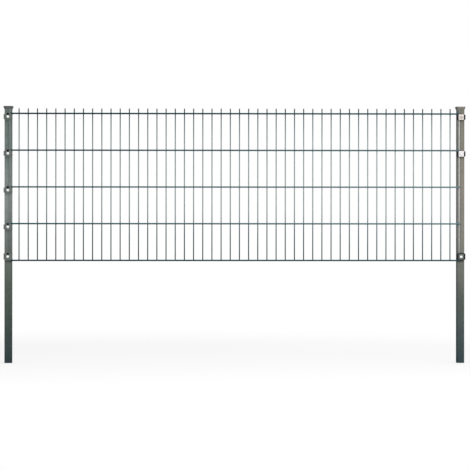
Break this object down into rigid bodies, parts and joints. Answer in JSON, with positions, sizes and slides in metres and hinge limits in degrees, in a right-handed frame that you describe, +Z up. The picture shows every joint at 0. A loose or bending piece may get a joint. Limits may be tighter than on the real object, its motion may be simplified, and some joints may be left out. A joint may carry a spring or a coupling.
{
  "type": "double wire mesh fence panel",
  "caption": "Double wire mesh fence panel held by bolted claw clips on the front of capped rectangular posts, for concreting into the ground.",
  "frame": {"origin": "midway between the feet of the two posts, on the posts' centre plane", "axes": "+X along the fence to the viewer's right, -Y towards the viewer (the mesh side), +Z up"},
  "size_m": [2.5214, 0.0993, 1.401],
  "materials": {
    "mesh_wire": "satin grey coating over galvanised wire",
    "post_metal": "satin grey-green coating over galvanised tube",
    "cap_plastic": "moulded, fine grain",
    "clip_metal": "satin grey coating",
    "clip_dark": "satin black coating",
    "clip_bright": "bright zinc plate",
    "zinc_fastener": "bright zinc plate",
    "spacer_plastic": "moulded black"
  },
  "bodies": {
    "fence": {"left_post": "post_metal", "right_post": "post_metal", "left_insert_nuts": "zinc_fastener", "right_insert_nuts": "zinc_fastener", "front_wire_1": "mesh_wire", "front_wire_2": "mesh_wire", "front_wire_3": "mesh_wire", "front_wire_4": "mesh_wire", "front_wire_5": "mesh_wire", "rear_wire_1": "mesh_wire", "rear_wire_2": "mesh_wire", "rear_wire_3": "mesh_wire", "rear_wire_4": "mesh_wire", "rear_wire_5": "mesh_wire", "vertical_wires_1": "mesh_wire", "vertical_wires_2": "mesh_wire", "vertical_wires_3": "mesh_wire", "vertical_wires_4": "mesh_wire", "vertical_wires_5": "mesh_wire"},
    "left_cap": {"left_post_cap": "cap_plastic"},
    "right_cap": {"right_post_cap": "cap_plastic"},
    "left_clamp_1": {"left_clip_1": "clip_metal", "left_spacer_1": "spacer_plastic", "left_washer_1": "zinc_fastener"},
    "left_bolt_1": {"left_bolt_1": "zinc_fastener"},
    "left_clamp_2": {"left_clip_2": "clip_metal", "left_spacer_2": "spacer_plastic", "left_washer_2": "zinc_fastener"},
    "left_bolt_2": {"left_bolt_2": "zinc_fastener"},
    "left_clamp_3": {"left_clip_3": "clip_metal", "left_spacer_3": "spacer_plastic", "left_washer_3": "zinc_fastener"},
    "left_bolt_3": {"left_bolt_3": "zinc_fastener"},
    "left_clamp_4": {"left_clip_4": "clip_metal", "left_spacer_4": "spacer_plastic", "left_washer_4": "zinc_fastener"},
    "left_bolt_4": {"left_bolt_4": "zinc_fastener"},
    "left_clamp_5": {"left_clip_5": "clip_metal", "left_spacer_5": "spacer_plastic", "left_washer_5": "zinc_fastener"},
    "left_bolt_5": {"left_bolt_5": "zinc_fastener"},
    "right_clamp_1": {"right_clip_1": "clip_dark", "right_spacer_1": "spacer_plastic", "right_plate_1": "clip_bright", "right_washer_1": "zinc_fastener"},
    "right_bolt_1": {"right_bolt_1": "zinc_fastener"},
    "right_clamp_2": {"right_clip_2": "clip_dark", "right_spacer_2": "spacer_plastic", "right_plate_2": "clip_bright", "right_washer_2": "zinc_fastener"},
    "right_bolt_2": {"right_bolt_2": "zinc_fastener"},
    "right_clamp_5": {"right_clip_5": "clip_dark", "right_spacer_5": "spacer_plastic", "right_plate_5": "clip_metal", "right_washer_5": "zinc_fastener"},
    "right_bolt_5": {"right_bolt_5": "zinc_fastener"}
  },
  "joints": [
    {"name": "left_cap_pull_off", "type": "slide", "parent": "fence", "child": "left_cap", "axis": [0, 0, 1], "range_m": [0, 0.02]},
    {"name": "right_cap_pull_off", "type": "slide", "parent": "fence", "child": "right_cap", "axis": [0, 0, 1], "range_m": [0, 0.02]},
    {"name": "left_clamp_1_back_off", "type": "slide", "parent": "fence", "child": "left_clamp_1", "axis": [0, -1, 0], "range_m": [0, 0.012]},
    {"name": "left_bolt_1_turn", "type": "hinge", "parent": "left_clamp_1", "child": "left_bolt_1", "pos_m": [-1.235, -0.0563, 1.3425], "axis": [0, -1, 0], "range_deg": [0, 3456.01]},
    {"name": "left_clamp_2_back_off", "type": "slide", "parent": "fence", "child": "left_clamp_2", "axis": [0, -1, 0], "range_m": [0, 0.012]},
    {"name": "left_bolt_2_turn", "type": "hinge", "parent": "left_clamp_2", "child": "left_bolt_2", "pos_m": [-1.235, -0.0563, 1.1425], "axis": [0, -1, 0], "range_deg": [0, 3456.01]},
    {"name": "left_clamp_3_back_off", "type": "slide", "parent": "fence", "child": "left_clamp_3", "axis": [0, -1, 0], "range_m": [0, 0.012]},
    {"name": "left_bolt_3_turn", "type": "hinge", "parent": "left_clamp_3", "child": "left_bolt_3", "pos_m": [-1.235, -0.0563, 0.9425], "axis": [0, -1, 0], "range_deg": [0, 3456.01]},
    {"name": "left_clamp_4_back_off", "type": "slide", "parent": "fence", "child": "left_clamp_4", "axis": [0, -1, 0], "range_m": [0, 0.012]},
    {"name": "left_bolt_4_turn", "type": "hinge", "parent": "left_clamp_4", "child": "left_bolt_4", "pos_m": [-1.235, -0.0563, 0.7425], "axis": [0, -1, 0], "range_deg": [0, 3456.01]},
    {"name": "left_clamp_5_back_off", "type": "slide", "parent": "fence", "child": "left_clamp_5", "axis": [0, -1, 0], "range_m": [0, 0.012]},
    {"name": "left_bolt_5_turn", "type": "hinge", "parent": "left_clamp_5", "child": "left_bolt_5", "pos_m": [-1.235, -0.0563, 0.581], "axis": [0, -1, 0], "range_deg": [0, 3456.01]},
    {"name": "right_clamp_1_back_off", "type": "slide", "parent": "fence", "child": "right_clamp_1", "axis": [0, -1, 0], "range_m": [0, 0.012]},
    {"name": "right_bolt_1_turn", "type": "hinge", "parent": "right_clamp_1", "child": "right_bolt_1", "pos_m": [1.235, -0.0563, 1.3425], "axis": [0, -1, 0], "range_deg": [0, 3456.01]},
    {"name": "right_clamp_2_back_off", "type": "slide", "parent": "fence", "child": "right_clamp_2", "axis": [0, -1, 0], "range_m": [0, 0.012]},
    {"name": "right_bolt_2_turn", "type": "hinge", "parent": "right_clamp_2", "child": "right_bolt_2", "pos_m": [1.235, -0.0563, 1.1425], "axis": [0, -1, 0], "range_deg": [0, 3456.01]},
    {"name": "right_clamp_5_back_off", "type": "slide", "parent": "fence", "child": "right_clamp_5", "axis": [0, -1, 0], "range_m": [0, 0.012]},
    {"name": "right_bolt_5_turn", "type": "hinge", "parent": "right_clamp_5", "child": "right_bolt_5", "pos_m": [1.235, -0.0563, 0.581], "axis": [0, -1, 0], "range_deg": [0, 3456.01]}
  ],
  "couplings": [
    {"joint": "left_bolt_1_turn", "follows": "left_clamp_1_back_off", "rad_per_m": 5026.5},
    {"joint": "left_bolt_2_turn", "follows": "left_clamp_2_back_off", "rad_per_m": 5026.5},
    {"joint": "left_bolt_3_turn", "follows": "left_clamp_3_back_off", "rad_per_m": 5026.5},
    {"joint": "left_bolt_4_turn", "follows": "left_clamp_4_back_off", "rad_per_m": 5026.5},
    {"joint": "left_bolt_5_turn", "follows": "left_clamp_5_back_off", "rad_per_m": 5026.5},
    {"joint": "right_bolt_1_turn", "follows": "right_clamp_1_back_off", "rad_per_m": 5026.5},
    {"joint": "right_bolt_2_turn", "follows": "right_clamp_2_back_off", "rad_per_m": 5026.5},
    {"joint": "right_bolt_5_turn", "follows": "right_clamp_5_back_off", "rad_per_m": 5026.5}
  ]
}
